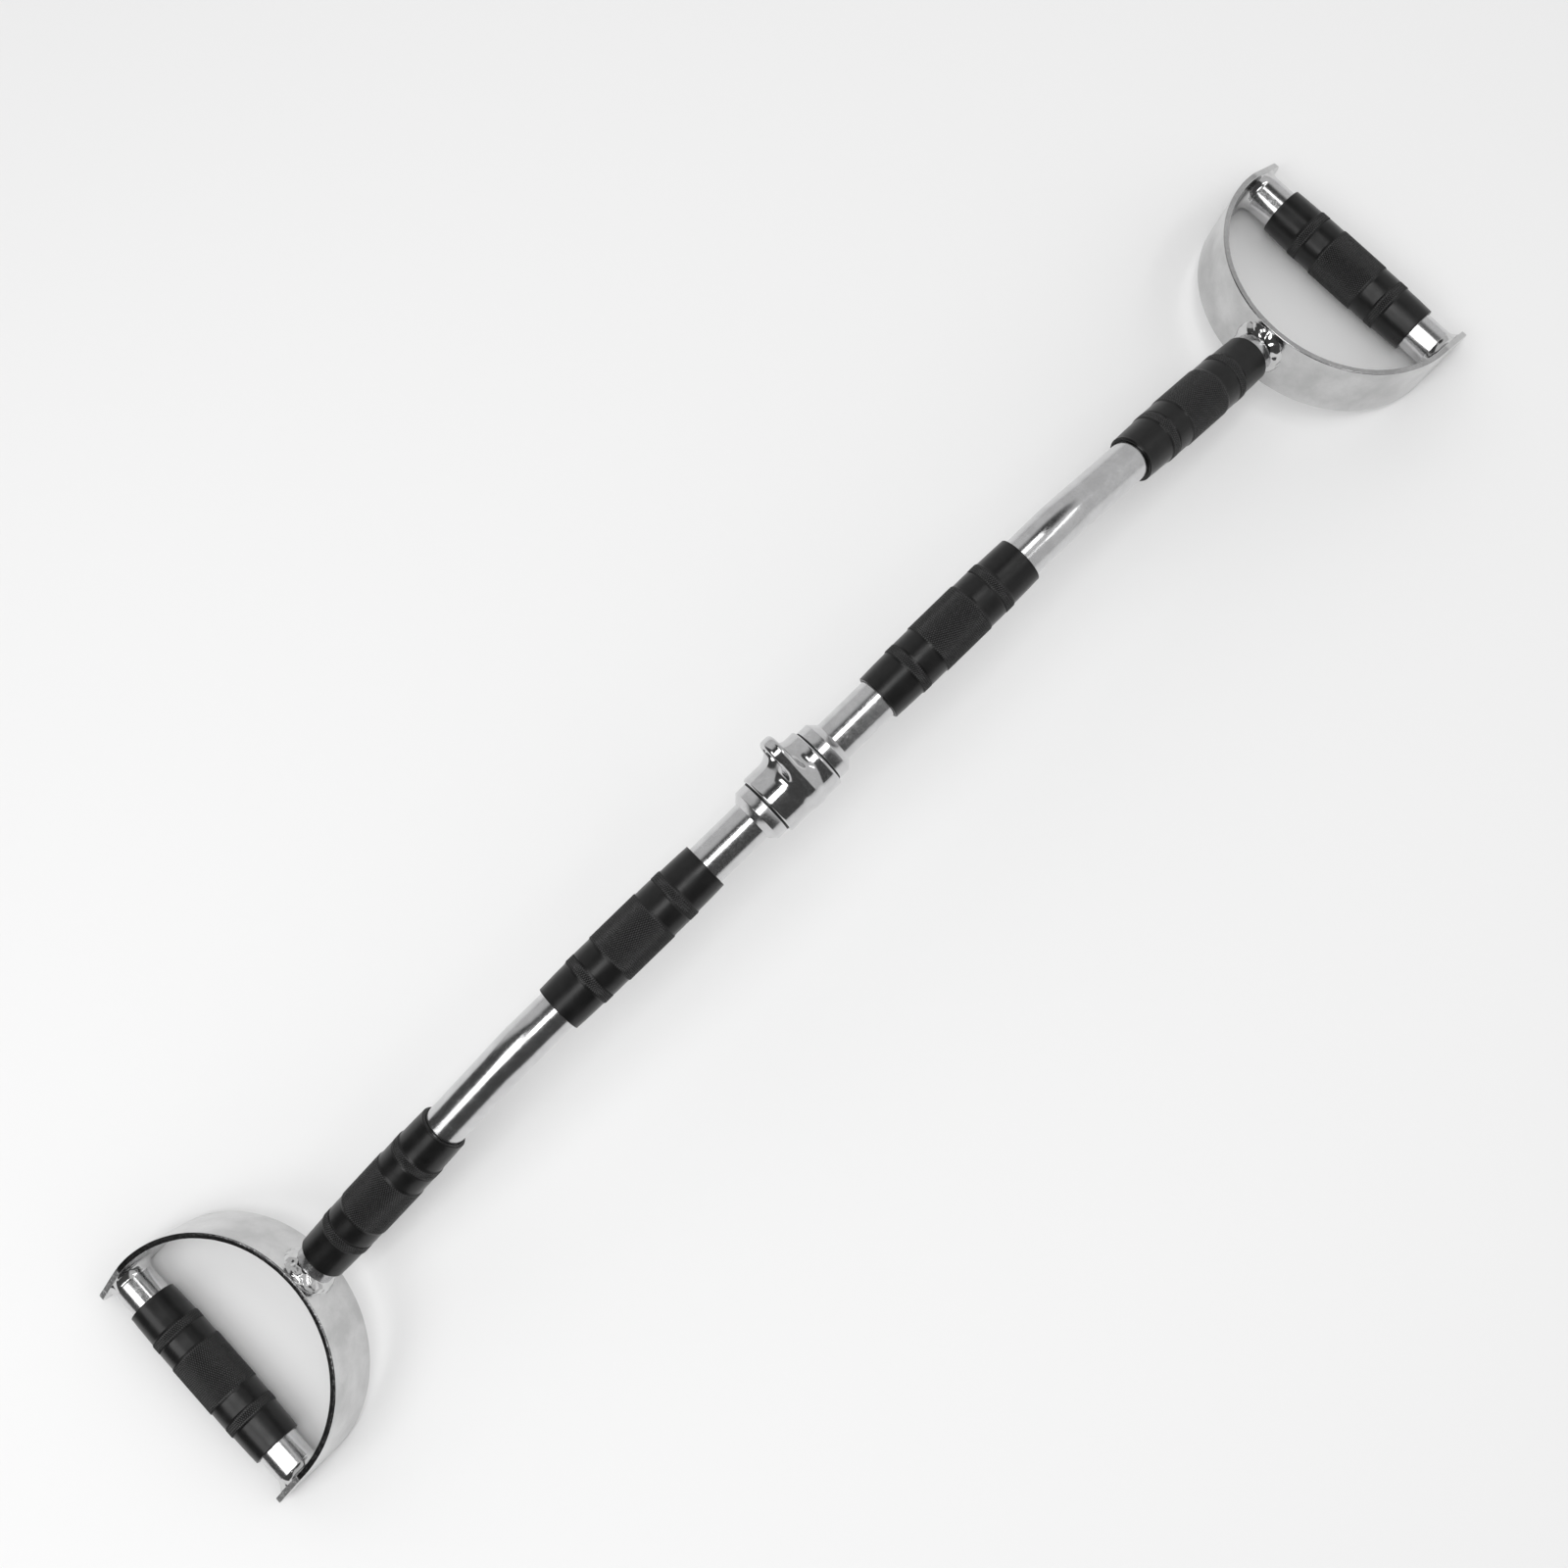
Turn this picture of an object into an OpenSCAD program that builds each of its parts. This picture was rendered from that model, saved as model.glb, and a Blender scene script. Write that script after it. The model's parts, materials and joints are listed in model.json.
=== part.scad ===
// Cable bar with two swept ends, a D-shaped side handle welded on each end
// and a revolving hanger lug in the middle.  Millimetres throughout.
// +X runs along the bar, +Y across it, +Z up.  The bar stands as an arch on
// the lower edges of the two D straps; the origin is on the floor, under the
// middle of the hanger.

/* [Bar tube] */
// Outside diameter of every tube
tube_od = 28; // [25:0.1:32]
// Wall thickness of every tube
tube_wall = 2.5; // [1.5:0.1:4]
// Distance from the middle of the bar to the corner of each bend
bend_x = 232; // [226:1:260]
// How far each end is swept down
bend_angle = 19; // [10:0.5:25]
// Centreline radius of the bends
bend_radius = 100; // [60:5:130]
// Corner of the bend to the outside of the D strap, along the swept end
strap_distance = 213; // [208:1:240]

/* [D handle straps] */
// Width of the flat strap
strap_width = 44; // [40:0.5:50]
// Thickness of the flat strap
strap_thickness = 4; // [3:0.5:6]
// Outside radius of the D
d_radius = 90.5; // [84:0.5:98]
// Outside of the D at the bar to the handle tube's axis
handle_depth = 106.5; // [100:0.5:115]
// Outside of the D at the bar to the tips of the strap
tip_depth = 132.5; // [128:0.5:145]
// Radius of the rounded tips
tip_radius = 8; // [5:0.5:10]

/* [Rubber grips] */
// Length of each grip
grip_length = 125; // [110:1:135]
// Diameter over the knurled middle band
grip_od = 36.4; // [34:0.1:42]
// Middle of the bar to the near end of the inner grips
inner_grip_x = 74.6; // [60:0.2:78]
// Corner of the bend to the near end of the outer grips
outer_grip_x = 75; // [50:1:80]
// Half length of the knurled middle band
middle_band = 19.5; // [15:0.5:25]
// Start of the narrow knurled bands, from the middle of the grip
band_start = 32.3; // [28:0.1:36]
// End of the narrow knurled bands, from the middle of the grip
band_end = 40; // [37:0.1:45]

/* [Revolving hanger] */
// Barrel diameter
barrel_od = 43.3; // [40:0.1:48]
// Barrel length
barrel_length = 43.2; // [38:0.1:50]
// Barrel bore, which is also the outside of the bushes
barrel_bore = 34; // [32:0.1:37]
// Rounding at the barrel's ends
barrel_round = 2; // [0.5:0.1:3]
// Lug thickness along the bar
lug_thickness = 10; // [8:0.5:14]
// Middle of the lug from the middle of the barrel, towards +X
lug_offset = 3.3; // [-5:0.1:5]
// Bar axis to the centre of the eye
eye_height = 31; // [29:0.5:36]
// Radius of the eye
eye_radius = 7.5; // [5:0.1:8]
// Radius of the lug's round tip
lug_radius = 12; // [10.5:0.5:14]
// Rounding along the lug's edges
lug_round = 2.5; // [1:0.1:4]
// Countersink at each side of the eye
eye_chamfer = 2; // [0.5:0.1:3]
// Fillet between the lug and the barrel
root_fillet = 3.6; // [1:0.1:5]
// Lean of the lug from upright, towards +Y
lug_lean = 28.5; // [-180:0.5:180]

/* [Bushes and collars] */
// Radial play between each bush and the tube
running_play = 0.05; // [0.01:0.01:0.1]
// Flange thickness of each bush
flange_thickness = 0.8; // [0.5:0.1:2]
// Length of each bush inside the barrel
bush_length = 16; // [10:0.5:20]
// Gap between each flange and its collar
axial_play = 0.3; // [0.1:0.05:0.5]
// Collar diameter
collar_od = 38.5; // [36:0.1:44]
// Collar length
collar_length = 12.3; // [8:0.1:20]
// Chamfer on the outer end of each collar
collar_chamfer = 4.7; // [1:0.1:5]

/* [Welds] */
// Leg of the weld where the bar meets the strap
bar_weld_leg = 6.5; // [4:0.5:9]
// Leg of the concave welds at the handle tube's ends
handle_weld_leg = 5; // [3:0.5:7]

/* [Hidden] */
$fn = 96;
tube_r = tube_od / 2;
bore_r = tube_r - tube_wall;
grip_r = grip_od / 2;
bend_tangent = bend_radius * tan(bend_angle / 2);
bend_start = bend_x - bend_tangent;
strap_inner = d_radius - strap_thickness;
half_width = strap_width / 2;
taper_start = d_radius + 1;
tip_centre = tip_depth - tip_radius;

// height of the bar's axis above the floor, from the lowest corner of the D
apex_drop = strap_distance * sin(bend_angle);
corner_drop = taper_start * sin(bend_angle) + half_width * cos(bend_angle);
tip_drop = tip_centre * sin(bend_angle) + tip_radius;
axis_height = apex_drop + max(corner_drop, tip_drop);

flange_x = barrel_length / 2;
collar_x = flange_x + flange_thickness + axial_play;
flange_r = collar_od / 2;
lap = 0.2;
ease = 0.04;

chrome = [0.80, 0.81, 0.83];
plated = [0.72, 0.73, 0.74];
bead = [0.66, 0.67, 0.69];
rubber = [0.09, 0.09, 0.10];
nylon = [0.04, 0.04, 0.05];

// ---------------------------------------------------------------- frames

// bar axis, seen from the middle, +X towards the chosen end
module half_frame(side)
    translate([0, 0, axis_height]) rotate([0, 0, side > 0 ? 0 : 180]) children();

// swept end: origin in the corner of the bend, +X outwards along the end
module end_frame(side)
    half_frame(side) translate([bend_x, 0, 0]) rotate([0, bend_angle, 0]) children();

// D handle: origin where the bar's axis meets the outside of the strap
module d_frame(side)
    end_frame(side) translate([strap_distance, 0, 0]) children();

module along_x() rotate([0, 90, 0]) children();

// ---------------------------------------------------------------- bar tube

// lap and ease join the straights and the bends by a clean step of a few
// hundredths of a millimetre: ease > 0 makes the bends thinner
module tube_run(r, ease) {
    translate([-bend_start - lap, 0, 0]) along_x()
        cylinder(r = r, h = 2 * (bend_start + lap));
    for (turn = [0, 180]) rotate([0, 0, turn]) {
        translate([bend_start, 0, -bend_radius])
            rotate([-90, 0, 0]) rotate([0, 0, -90])
                rotate_extrude(angle = bend_angle)
                    translate([bend_radius, 0]) circle(r = r - ease);
        translate([bend_x, 0, 0]) rotate([0, bend_angle, 0])
            translate([bend_tangent - lap, 0, 0]) along_x()
                cylinder(r = r, h = strap_distance - bend_tangent + 3);
    }
}

module main_tube() color(chrome) difference() {
    translate([0, 0, axis_height]) difference() {
        tube_run(tube_r, ease);
        tube_run(bore_r, -ease);
    }
    // both ends are coped to the round of the straps
    for (side = [-1, 1]) d_frame(side) strap_round(d_radius, strap_width + 20);
}

// ---------------------------------------------------------------- D straps

module strap_round(r, h)
    translate([d_radius, 0, -h / 2]) cylinder(r = r, h = h);

module leg_outline() {
    slope = asin((half_width - tip_radius) / norm([tip_centre - taper_start,
                                                  half_width - tip_radius]));
    translate([tip_centre, 0]) circle(r = tip_radius);
    polygon([
        [d_radius, -half_width], [taper_start, -half_width],
        [tip_centre + tip_radius * sin(slope), -tip_radius * cos(slope)],
        [tip_centre + tip_radius * sin(slope), tip_radius * cos(slope)],
        [taper_start, half_width], [d_radius, half_width]
    ]);
}

module strap(side) color(plated) d_frame(side) {
    translate([d_radius, 0, 0]) rotate([0, 0, 90])
        rotate_extrude(angle = 180)
            translate([strap_inner, -half_width])
                square([strap_thickness, strap_width]);
    for (edge = [-1, 1])
        translate([0, edge * (d_radius - strap_thickness / 2) + strap_thickness / 2, 0])
            rotate([90, 0, 0]) linear_extrude(strap_thickness) leg_outline();
}

module left_strap() strap(-1);
module right_strap() strap(1);

// rounded bead around the bar, sitting on the outside of the strap
module bar_weld(side) color(bead) d_frame(side) difference() {
    along_x() rotate_extrude() difference() {
        translate([tube_r, -bar_weld_leg]) union() {
            intersection() {
                translate([-0.2 * bar_weld_leg, bar_weld_leg * 1.2])
                    circle(r = bar_weld_leg * 1.22);
                square([bar_weld_leg + 1, bar_weld_leg * 2]);
            }
        }
    }
    strap_round(d_radius, strap_width + 20);
    translate([-30, 0, 0]) along_x() cylinder(r = tube_r, h = 60);
}

module left_bar_weld() bar_weld(-1);
module right_bar_weld() bar_weld(1);

// ---------------------------------------------------------------- handles

// handle tube's own frame: origin at its middle, +Z along it
module handle_frame(side)
    d_frame(side) translate([handle_depth, 0, 0]) rotate([-90, 0, 0]) children();

module handle_tube(side) color(chrome) handle_frame(side)
    translate([0, 0, -strap_inner]) difference() {
        cylinder(r = tube_r, h = 2 * strap_inner);
        translate([0, 0, -1]) cylinder(r = bore_r, h = 2 * strap_inner + 2);
    }

module left_handle_tube() handle_tube(-1);
module right_handle_tube() handle_tube(1);

// concave weld that flares from the tube onto the strap's inner face
module handle_weld(side, edge) color(bead) d_frame(side) intersection() {
    translate([handle_depth, edge * strap_inner, 0]) rotate([edge * 90, 0, 0])
        rotate_extrude() difference() {
            translate([tube_r, 0]) square([handle_weld_leg, handle_weld_leg]);
            translate([tube_r + handle_weld_leg, handle_weld_leg])
                circle(r = handle_weld_leg * 0.94);
        }
    // no wider than the strap, and clear of the bend into the D's round
    translate([0, strap_inner + 1, 0]) rotate([90, 0, 0])
        linear_extrude(2 * strap_inner + 2) union() {
            leg_outline();
            translate([handle_depth - tube_r - 8, -half_width])
                square([taper_start - handle_depth + tube_r + 8, strap_width]);
        }
    union() {
        translate([d_radius, 0, -half_width]) cylinder(r = strap_inner, h = strap_width);
        translate([d_radius, -strap_inner, -half_width])
            cube([tip_depth, 2 * strap_inner, strap_width]);
    }
}

module left_front_handle_weld() handle_weld(-1, 1);
module left_back_handle_weld() handle_weld(-1, -1);
module right_front_handle_weld() handle_weld(1, -1);
module right_back_handle_weld() handle_weld(1, 1);

// ---------------------------------------------------------------- grips

// one rubber grip, middle at the origin, along +Z
module grip() color(rubber) {
    half = grip_length / 2;
    recess = grip_r - 0.65;
    narrow = grip_r - 0.45;
    shoulder = grip_r - 1.2;
    neck = grip_r - 1.8;
    rotate_extrude() polygon([
        [tube_r, -half], [neck - 1.2, -half], [neck - 0.35, -half + 0.4],
        [neck, -half + 1.3], [shoulder, -band_end - 0.4], [narrow, -band_end],
        [narrow, -band_start], [recess, -band_start + 0.3],
        [recess, -middle_band - 0.5], [grip_r, -middle_band],
        [grip_r, middle_band], [recess, middle_band + 0.5],
        [recess, band_start - 0.3], [narrow, band_start],
        [narrow, band_end], [shoulder, band_end + 0.4], [neck, half - 1.3],
        [neck - 0.35, half - 0.4], [neck - 1.2, half], [tube_r, half]
    ]);
}

module inner_grip(side) half_frame(side)
    translate([inner_grip_x + grip_length / 2, 0, 0]) along_x() grip();

module outer_grip(side) end_frame(side)
    translate([outer_grip_x + grip_length / 2, 0, 0]) along_x() grip();

module left_inner_grip() inner_grip(-1);
module right_inner_grip() inner_grip(1);
module left_outer_grip() outer_grip(-1);
module right_outer_grip() outer_grip(1);
module left_handle_grip() handle_frame(-1) grip();
module right_handle_grip() handle_frame(1) grip();

// ---------------------------------------------------------------- hanger

module collar(side) color(chrome) half_frame(side) along_x()
    rotate_extrude() polygon([
        [tube_r, collar_x], [flange_r - 0.4, collar_x], [flange_r, collar_x + 0.4],
        [flange_r, collar_x + collar_length - collar_chamfer],
        [flange_r - collar_chamfer, collar_x + collar_length],
        [tube_r, collar_x + collar_length]
    ]);

module left_collar() collar(-1);
module right_collar() collar(1);

module swivel_bush(side) color(nylon) half_frame(side) along_x()
    rotate_extrude() polygon([
        [tube_r + running_play, flange_x - bush_length],
        [barrel_bore / 2, flange_x - bush_length], [barrel_bore / 2, flange_x],
        [flange_r, flange_x], [flange_r, flange_x + flange_thickness],
        [tube_r + running_play, flange_x + flange_thickness]
    ]);

module left_swivel_bush() swivel_bush(-1);
module right_swivel_bush() swivel_bush(1);

// barrel's section without its bore: radius along +X, length along +Y
module barrel_section() {
    half = barrel_length / 2;
    r = barrel_od / 2;
    square_to = r - barrel_round;
    translate([0, -half]) square([square_to, barrel_length]);
    translate([0, -half + barrel_round]) square([r, barrel_length - 2 * barrel_round]);
    for (end = [-1, 1])
        translate([square_to, end * (half - barrel_round)]) circle(r = barrel_round);
}

// section of the lug's edge: a slab from the eye's centre to a rounded rim,
// shrunk a little by trim so that overlapping pieces never share a face
module lug_section(trim) {
    half = lug_thickness / 2 - trim;
    rim = lug_radius - trim;
    flat_to = rim - lug_round;
    translate([0, -half]) square([flat_to, 2 * half]);
    translate([0, -half + lug_round]) square([rim, 2 * (half - lug_round)]);
    for (end = [-1, 1])
        translate([flat_to, end * (half - lug_round)]) circle(r = lug_round);
}

// the lug stands along +Z here, its thickness along X
lug_base = barrel_od / 2 - 1.2;
flank_angle = asin((lug_base - lug_radius) / eye_height);
flank_length = sqrt(eye_height * eye_height - pow(lug_base - lug_radius, 2));

module lug_body() {
    translate([0, 0, eye_height]) along_x() rotate_extrude() lug_section(0);
    for (turn = [0, 180]) rotate([0, 0, turn])
        translate([0, 0, eye_height]) rotate([180 + flank_angle, 0, 0])
            linear_extrude(flank_length)
                rotate([0, 0, -90]) lug_section(ease);
    translate([-lug_thickness / 2 + 2 * ease, 0, 0]) rotate([90, 0, 90])
        linear_extrude(lug_thickness - 4 * ease)
            polygon([[0, eye_height], [-12, 9], [12, 9]]);
}

// fillets along both sides of the lug's root, kept inside its flat faces
module root_fillets() intersection() {
    for (turn = [0, 180]) rotate([0, 0, turn])
        along_x() rotate([0, 0, 135]) rotate_extrude(angle = 90)
            difference() {
                translate([barrel_od / 2 - 0.6, lug_thickness / 2 - 0.6])
                    square([root_fillet + 0.6, root_fillet + 0.6]);
                translate([barrel_od / 2 + root_fillet, lug_thickness / 2 + root_fillet])
                    circle(r = root_fillet);
            }
    translate([-15, 0, 0]) rotate([90, 0, 90]) linear_extrude(30)
        polygon([
            [-(lug_radius - lug_round) * cos(flank_angle), eye_height],
            [(lug_radius - lug_round) * cos(flank_angle), eye_height],
            [(lug_base - lug_round) / cos(flank_angle), 0],
            [-(lug_base - lug_round) / cos(flank_angle), 0]
        ]);
}

module swivel_body() color(chrome)
    translate([0, 0, axis_height]) rotate([-lug_lean, 0, 0]) difference() {
        union() {
            along_x() rotate_extrude() barrel_section();
            translate([lug_offset, 0, 0]) {
                lug_body();
                root_fillets();
            }
        }
        translate([-40, 0, 0]) along_x() cylinder(r = barrel_bore / 2, h = 80);
        translate([-40, 0, eye_height]) along_x() cylinder(r = eye_radius, h = 80);
        translate([lug_offset, 0, 0]) for (turn = [0, 180]) rotate([0, 0, turn])
            translate([lug_thickness / 2 - eye_chamfer, 0, eye_height]) along_x() {
                cylinder(r1 = eye_radius, r2 = eye_radius + eye_chamfer, h = eye_chamfer);
                translate([0, 0, eye_chamfer])
                    cylinder(r = eye_radius + 0.6, h = root_fillet + 1);
            }
    }

// ---------------------------------------------------------------- nodes

main_tube();
left_strap();
right_strap();
left_bar_weld();
right_bar_weld();
left_handle_tube();
right_handle_tube();
left_front_handle_weld();
left_back_handle_weld();
right_front_handle_weld();
right_back_handle_weld();
left_inner_grip();
right_inner_grip();
left_outer_grip();
right_outer_grip();
left_handle_grip();
right_handle_grip();
left_collar();
right_collar();
left_swivel_bush();
right_swivel_bush();
swivel_body();
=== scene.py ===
import json
import math

import bmesh
import bpy
import numpy as np
from mathutils import Matrix, Vector, noise


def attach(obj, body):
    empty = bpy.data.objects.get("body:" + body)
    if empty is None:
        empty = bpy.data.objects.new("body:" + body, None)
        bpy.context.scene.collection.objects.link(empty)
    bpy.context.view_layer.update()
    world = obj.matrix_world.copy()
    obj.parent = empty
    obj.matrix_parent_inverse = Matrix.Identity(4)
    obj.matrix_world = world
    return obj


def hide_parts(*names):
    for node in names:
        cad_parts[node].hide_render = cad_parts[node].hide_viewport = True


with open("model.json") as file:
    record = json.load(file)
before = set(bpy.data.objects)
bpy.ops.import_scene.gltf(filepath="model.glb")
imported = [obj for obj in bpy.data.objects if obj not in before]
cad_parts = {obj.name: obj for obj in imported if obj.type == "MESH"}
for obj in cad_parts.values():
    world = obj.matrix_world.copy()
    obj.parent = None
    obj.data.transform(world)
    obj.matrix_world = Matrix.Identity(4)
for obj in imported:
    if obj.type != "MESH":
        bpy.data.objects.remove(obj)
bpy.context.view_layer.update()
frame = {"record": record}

# ------------------------------------------------------------------ sizes, as in the CAD source
TUBE_R = 14.0
BEND_X = 232.0
BEND_ANGLE = math.radians(19)
BEND_RADIUS = 100.0
STRAP_DISTANCE = 213.0
STRAP_WIDTH = 44.0
STRAP_THICKNESS = 4.0
D_RADIUS = 90.5
HANDLE_DEPTH = 106.5
TIP_DEPTH = 132.5
TIP_RADIUS = 8.0
GRIP_LENGTH = 125.0
GRIP_R = 18.2
INNER_GRIP_X = 74.6
OUTER_GRIP_X = 75.0
MIDDLE_BAND = 19.5
BAND_START = 32.3
BAND_END = 40.0
BARREL_R = 21.65
BARREL_LENGTH = 43.2
BARREL_BORE_R = 17.0
LUG_THICKNESS = 10.0
LUG_OFFSET = 3.3
EYE_HEIGHT = 31.0
EYE_RADIUS = 7.5
LUG_RADIUS = 12.0
LUG_ROUND = 2.5
LUG_LEAN = math.radians(28.5)
RUNNING_PLAY = 0.05
FLANGE_THICKNESS = 0.8
BUSH_LENGTH = 16.0
AXIAL_PLAY = 0.3
COLLAR_R = 19.25
COLLAR_LENGTH = 12.3
COLLAR_CHAMFER = 4.7
HANDLE_WELD_LEG = 5.0
# rings of the grip, as in the CAD source
GRIP_NARROW_R = GRIP_R - 0.45
GRIP_RECESS_R = GRIP_R - 0.65
GRIP_SHOULDER_R = GRIP_R - 1.2
GRIP_NECK_R = GRIP_R - 1.75

STRAP_INNER = D_RADIUS - STRAP_THICKNESS
HALF_WIDTH = STRAP_WIDTH / 2
TAPER_START = D_RADIUS + 1
TIP_CENTRE = TIP_DEPTH - TIP_RADIUS
BEND_TANGENT = BEND_RADIUS * math.tan(BEND_ANGLE / 2)
AXIS_HEIGHT = frame["record"]["behaviour"]["joints"][0]["pos_m"][2] * 1000
ROUND = 128  # points round a tube, collar or bush

# ------------------------------------------------------------------ frames, as in the CAD source
def shift(x=0.0, y=0.0, z=0.0):
    return Matrix.Translation((x, y, z))


def half_frame(side):
    return shift(z=AXIS_HEIGHT) @ Matrix.Rotation(0 if side > 0 else math.pi, 4, "Z")


def end_frame(side):
    return half_frame(side) @ shift(BEND_X) @ Matrix.Rotation(BEND_ANGLE, 4, "Y")


def d_frame(side):
    return end_frame(side) @ shift(STRAP_DISTANCE)


def handle_frame(side):
    return d_frame(side) @ shift(HANDLE_DEPTH) @ Matrix.Rotation(-math.pi / 2, 4, "X")


ALONG_X = Matrix.Rotation(math.pi / 2, 4, "Y")
HANGER_FRAME = shift(z=AXIS_HEIGHT) @ Matrix.Rotation(-LUG_LEAN, 4, "X")

# ------------------------------------------------------------------ materials
def material(name, base, rough, metallic=0.0, **sockets):
    m = bpy.data.materials.new(name)
    m.use_nodes = True
    p = m.node_tree.nodes["Principled BSDF"]
    p.inputs["Base Color"].default_value = (*base, 1)
    p.inputs["Roughness"].default_value = rough
    p.inputs["Metallic"].default_value = metallic
    for key, value in sockets.items():
        p.inputs[key.replace("_", " ")].default_value = value
    return m


def add(m, kind, **values):
    n = m.node_tree.nodes.new(kind)
    for key, value in values.items():
        if key in n.inputs:
            n.inputs[key].default_value = value
        else:
            setattr(n, key, value)
    return n


def link(m, a, out, b, into):
    m.node_tree.links.new(a.outputs[out], b.inputs[into])


def ramp(m, source, *stops):
    """The source's noise turned to colours or greys. stops: (position, colour or (grey,))."""
    r = add(m, "ShaderNodeValToRGB")
    while len(r.color_ramp.elements) < len(stops):
        r.color_ramp.elements.new(0.5)
    for e, (at, colour) in zip(r.color_ramp.elements, stops):
        e.position = at
        e.color = (*colour, 1) if len(colour) == 3 else (colour[0],) * 3 + (1,)
    link(m, source, "Fac", r, "Fac")
    return r


def speckle(m, scale, detail=3.0, rough=0.55):
    """Noise in the object's own metres."""
    n = add(m, "ShaderNodeTexNoise", Scale=scale, Detail=detail, Roughness=rough)
    link(m, add(m, "ShaderNodeTexCoord"), "Object", n, "Vector")
    return n


def bumps(m, layers):
    """layers: (noise node, strength, distance in metres), stacked."""
    last = None
    for node, strength, distance in layers:
        b = add(m, "ShaderNodeBump", Strength=strength, Distance=distance)
        link(m, node, "Fac", b, "Height")
        if last:
            link(m, last, "Normal", b, "Normal")
        last = b
    link(m, last, "Normal", m.node_tree.nodes["Principled BSDF"], "Normal")


def product(m, a, b):
    """Two colours multiplied."""
    mix = add(m, "ShaderNodeMix", data_type="RGBA", blend_type="MULTIPLY")
    mix.inputs["Factor"].default_value = 1.0
    link(m, a, "Color", mix, "A")
    link(m, b, "Color", mix, "B")
    return mix


def make_chrome(name, base, rough, cloud, ripple, mottle, grain, dullest=0.88):
    """Chrome plate: cloud is the scale of its dull patches, and dullest is how dark they get.

    rough is the least and most roughness; ripple, mottle and grain are bump depths in metres.
    """
    lo, hi = rough
    m = material(name, base, lo, 1.0)
    p = m.node_tree.nodes["Principled BSDF"]
    wide = speckle(m, cloud, 4.0, 0.6)
    fine = speckle(m, 800.0, 5.0, 0.7)
    patchy = product(m, ramp(m, wide, (0.32, (0.75,)), (0.72, (1.0,))),
                     ramp(m, fine, (0.38, (lo,)), (0.66, (hi,))))
    link(m, patchy, "Result", p, "Roughness")
    dull = tuple(c * dullest for c in base)
    tint = product(m, ramp(m, wide, (0.35, dull), (0.65, base)),
                   ramp(m, fine, (0.36, (0.94,)), (0.62, (1.0,))))
    link(m, tint, "Result", p, "Base Color")
    bumps(m, [(speckle(m, 90.0, 2.0), 1.0, ripple), (fine, 1.0, mottle),
              (speckle(m, 1500.0, 2.0), 1.0, grain)])
    return m


BLUISH, NEUTRAL = (0.68, 0.68, 0.685), (0.68, 0.68, 0.68)
POLISHED = make_chrome("polished_chrome", BLUISH, (0.17, 0.29), 110.0, 0.00005, 0.000011, 0.000005)
FORGED = make_chrome("forged_chrome", BLUISH, (0.11, 0.20), 110.0, 0.00008, 0.000008, 0.000004)
STRAP_PLATE = make_chrome("cloudy_plate", NEUTRAL, (0.12, 0.28), 34.0, 0.00026, 0.000012, 0.000004, 0.76)
BEAD = make_chrome("plated_bead", NEUTRAL, (0.09, 0.18), 160.0, 0.00016, 0.000008, 0.000004)


def make_rubber():
    """Satin black rubber; the attribute "raised" pales the crests of the knurl, partly as scuffed rubber and
    partly as a painted highlight.
    """
    m = material("grip_rubber", (0.006, 0.006, 0.006), 0.36, 0.0, Specular_IOR_Level=0.36)
    p = m.node_tree.nodes["Principled BSDF"]
    wide = speckle(m, 55.0, 4.0)
    link(m, ramp(m, wide, (0.3, (0.27,)), (0.7, (0.37,))), "Color", p, "Roughness")
    scuff_and_highlight = add(m, "ShaderNodeAttribute", attribute_name="raised")
    tint = add(m, "ShaderNodeMix", data_type="RGBA")
    link(m, scuff_and_highlight, "Fac", tint, "Factor")
    link(m, ramp(m, speckle(m, 140.0), (0.3, (0.004,)), (0.7, (0.008,))), "Color", tint, "A")
    # paler crest colour: partly scuffed rubber, partly a painted highlight
    link(m, ramp(m, speckle(m, 400.0), (0.3, (0.018,)), (0.7, (0.034,))), "Color", tint, "B")
    link(m, tint, "Result", p, "Base Color")
    bumps(m, [(speckle(m, 1500.0, 3.0, 0.7), 0.6, 0.00002), (speckle(m, 260.0, 2.0), 0.6, 0.00003)])
    return m


def make_nylon():
    m = material("bush_nylon", (0.012, 0.012, 0.013), 0.45)
    p = m.node_tree.nodes["Principled BSDF"]
    link(m, ramp(m, speckle(m, 300.0), (0.3, (0.38,)), (0.7, (0.55,))), "Color", p, "Roughness")
    bumps(m, [(speckle(m, 1200.0, 2.0), 0.5, 0.00001)])
    return m


def darken_edges_with_painted_reflection(m):
    """Mix a speckled dark colour into the plate's colour along the edges that the mesh marks: painted dark
    reflection.
    """
    p = m.node_tree.nodes["Principled BSDF"]
    plate = p.inputs["Base Color"].links[0].from_node
    edge = add(m, "ShaderNodeAttribute", attribute_name="dark_edge_reflection")
    mixed = add(m, "ShaderNodeMix", data_type="RGBA")
    link(m, edge, "Fac", mixed, "Factor")
    link(m, plate, "Result", mixed, "A")
    # painted dark reflection on the strap's edges, speckled
    reflection_speckle = ramp(m, speckle(m, 520.0, 4.0, 0.7), (0.36, (0.07,)), (0.56, (0.17,)), (0.68, (0.50,)))
    link(m, reflection_speckle, "Color", mixed, "B")
    link(m, mixed, "Result", p, "Base Color")


darken_edges_with_painted_reflection(STRAP_PLATE)
RUBBER = make_rubber()
NYLON = make_nylon()

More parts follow.
